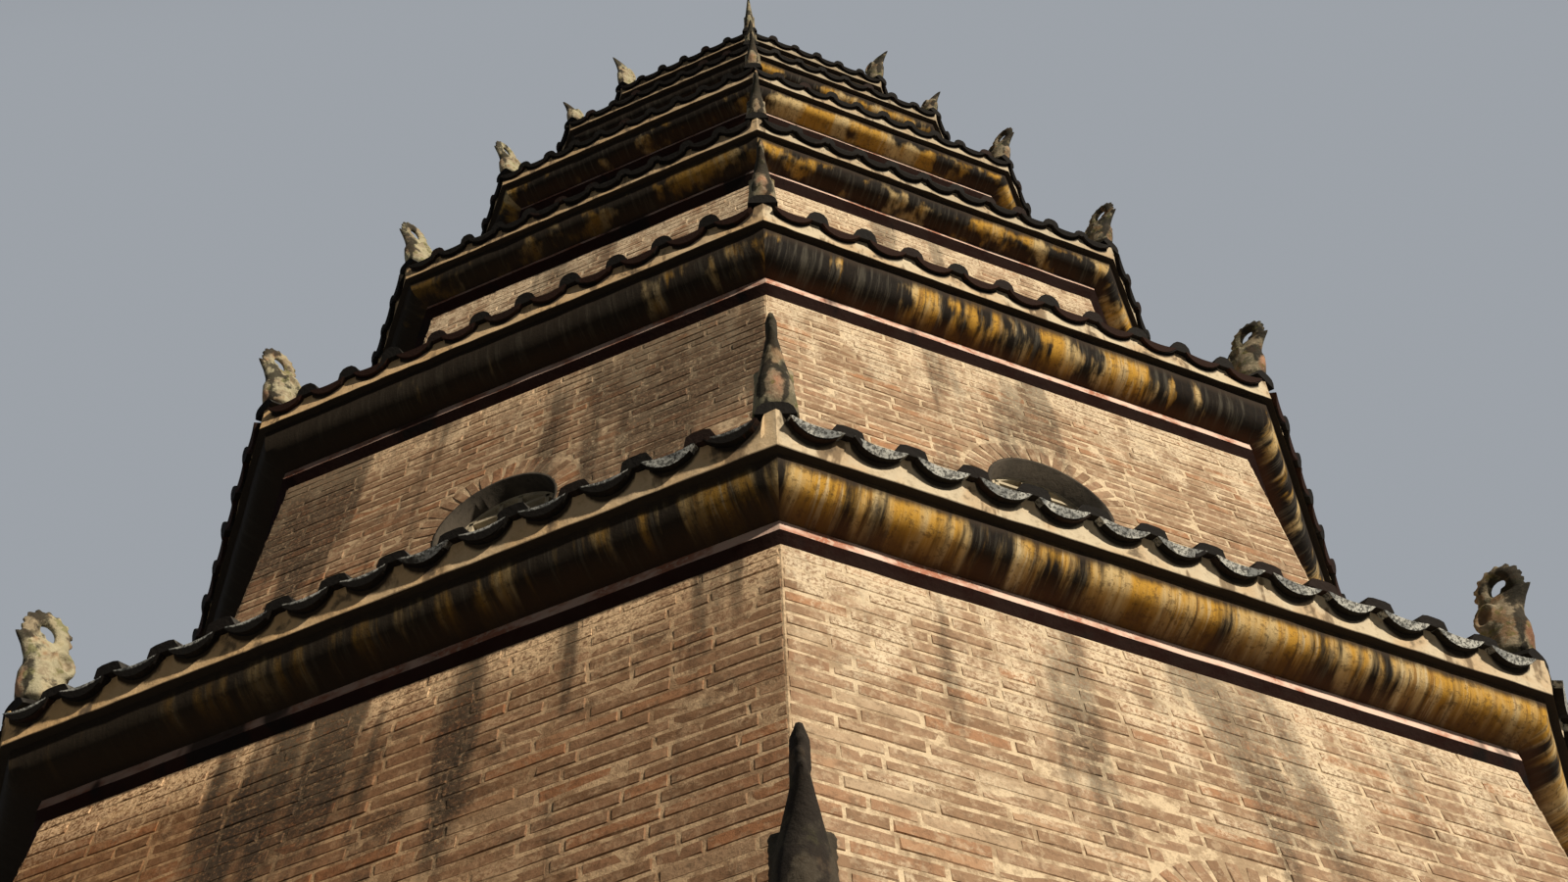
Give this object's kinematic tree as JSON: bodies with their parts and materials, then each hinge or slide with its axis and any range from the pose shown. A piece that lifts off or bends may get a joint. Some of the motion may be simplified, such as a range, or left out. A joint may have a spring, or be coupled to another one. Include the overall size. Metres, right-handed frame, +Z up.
{
  "type": "octagonal brick pagoda tower",
  "caption": "Tapering octagonal brick tower of stacked storeys, each with a moulded ochre cornice, a tiled skirt roof, hip ridges with bird-head ornaments and round windows.",
  "frame": {"origin": "on the ground under the tower's axis", "axes": "+Z up along the tower's axis, the doorway faces -Y"},
  "size_m": [9.365, 9.365, 21.24],
  "materials": {
    "brick": "weathered thin hand-made bricks in thick pale lime joints, streaked dark",
    "base_stone": "worn stone steps",
    "floor_brick": "dusty brick paving",
    "ochre_plaster": "ochre lime plaster with black rain streaks, cream edge and red-brown band",
    "roof_tile": "blackened clay pan and cover tiles with grey lichen",
    "moulded_plaster": "grey-green moulded plaster with lichen and traces of pink",
    "glazed_vase": "dull ochre glazed ceramic"
  },
  "bodies": {
    "root": {"base_step_1": "base_stone", "base_step_2": "base_stone", "base_step_3": "base_stone", "eave_1_cornice": "ochre_plaster", "eave_1_hips_and_ornaments": "moulded_plaster", "eave_1_tiles": "roof_tile", "eave_2_cornice": "ochre_plaster", "eave_2_hips_and_ornaments": "moulded_plaster", "eave_2_tiles": "roof_tile", "eave_3_cornice": "ochre_plaster", "eave_3_hips_and_ornaments": "moulded_plaster", "eave_3_tiles": "roof_tile", "eave_4_cornice": "ochre_plaster", "eave_4_hips_and_ornaments": "moulded_plaster", "eave_4_tiles": "roof_tile", "eave_5_cornice": "ochre_plaster", "eave_5_hips_and_ornaments": "moulded_plaster", "eave_5_tiles": "roof_tile", "eave_6_cornice": "ochre_plaster", "eave_6_hips_and_ornaments": "moulded_plaster", "eave_6_tiles": "roof_tile", "eave_7_cornice": "ochre_plaster", "eave_7_hips_and_ornaments": "moulded_plaster", "finial_base": "moulded_plaster", "finial_vase": "glazed_vase", "floor_2": "floor_brick", "floor_3": "floor_brick", "floor_4": "floor_brick", "floor_5": "floor_brick", "floor_6": "floor_brick", "floor_7": "floor_brick", "front_wall_left": "brick", "front_wall_over_door": "brick", "front_wall_right": "brick", "roof_tiles": "roof_tile", "storey_1_wall_back": "brick", "storey_1_wall_left": "brick", "storey_1_wall_right": "brick", "storey_2_wall_back": "brick", "storey_2_wall_front": "brick", "storey_3_wall_back": "brick", "storey_3_wall_front": "brick", "storey_4_wall_back": "brick", "storey_4_wall_front": "brick", "storey_5_wall": "brick", "storey_6_wall": "brick", "storey_7_wall": "brick"}
  },
  "joints": []
}
